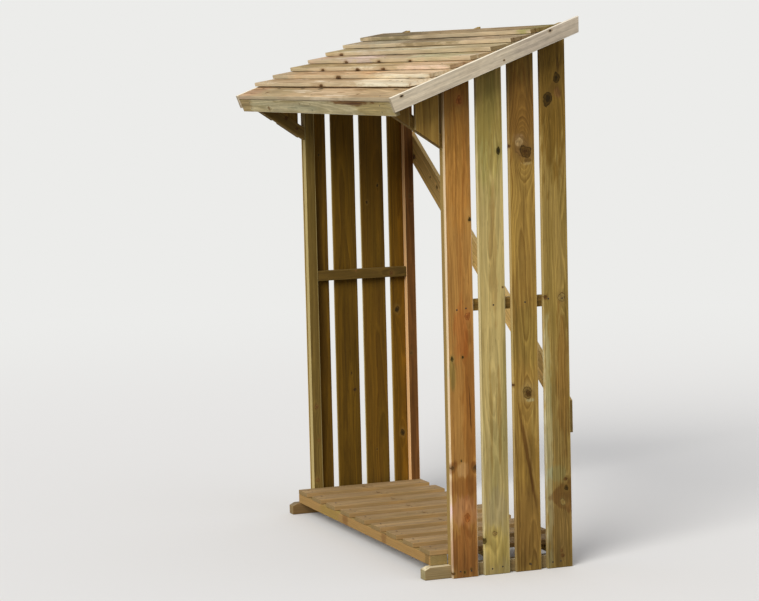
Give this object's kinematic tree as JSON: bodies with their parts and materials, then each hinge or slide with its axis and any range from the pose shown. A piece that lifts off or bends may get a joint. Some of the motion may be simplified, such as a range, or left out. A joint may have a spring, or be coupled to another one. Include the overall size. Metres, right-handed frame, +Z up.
{
  "type": "log store",
  "caption": "Open-fronted timber log store with slatted sides, a slatted floor on runners, a lapped board pent roof and a diagonal back brace.",
  "frame": {"origin": "middle of the bounding box's underside, on the ground the runners stand on", "axes": "+X to the right when facing the open front, +Y from the front to the back, +Z up"},
  "size_m": [1.71, 0.73, 1.98],
  "materials": {
    "side_slats": "sawn pressure-treated softwood, golden to olive brown, with knots",
    "roof_boards": "sawn softwood, pale tan, a little weathered",
    "edging": "sawn softwood, pale grey-beige",
    "frame_timber": "sawn pressure-treated softwood, olive brown",
    "base_timber": "sawn pressure-treated softwood, olive tan"
  },
  "bodies": {
    "root": {"back_brace": "frame_timber", "back_post_left": "frame_timber", "back_post_right": "frame_timber", "back_top_rail": "frame_timber", "bargeboard_left": "edging", "bargeboard_right": "edging", "fascia": "edging", "floor_bearer_back": "base_timber", "floor_bearer_front": "base_timber", "floor_bearer_middle": "base_timber", "floor_slats": "base_timber", "front_post_left": "frame_timber", "front_post_right": "frame_timber", "front_top_rail": "frame_timber", "mid_rail_left": "frame_timber", "mid_rail_right": "frame_timber", "overhang_brace_left": "frame_timber", "overhang_brace_right": "frame_timber", "rafter_left": "frame_timber", "rafter_middle": "frame_timber", "rafter_right": "frame_timber", "roof_board_1": "roof_boards", "roof_board_2": "roof_boards", "roof_board_3": "roof_boards", "roof_board_4": "roof_boards", "roof_board_5": "roof_boards", "roof_board_6": "roof_boards", "roof_board_7": "roof_boards", "roof_board_8": "roof_boards", "runner_left": "base_timber", "runner_right": "base_timber", "short_slat_left_back": "side_slats", "short_slat_left_front": "side_slats", "short_slat_right_back": "side_slats", "short_slat_right_front": "side_slats", "side_slat_left_1": "side_slats", "side_slat_left_2": "side_slats", "side_slat_left_3": "side_slats", "side_slat_left_4": "side_slats", "side_slat_right_1": "side_slats", "side_slat_right_2": "side_slats", "side_slat_right_3": "side_slats", "side_slat_right_4": "side_slats"}
  },
  "joints": []
}
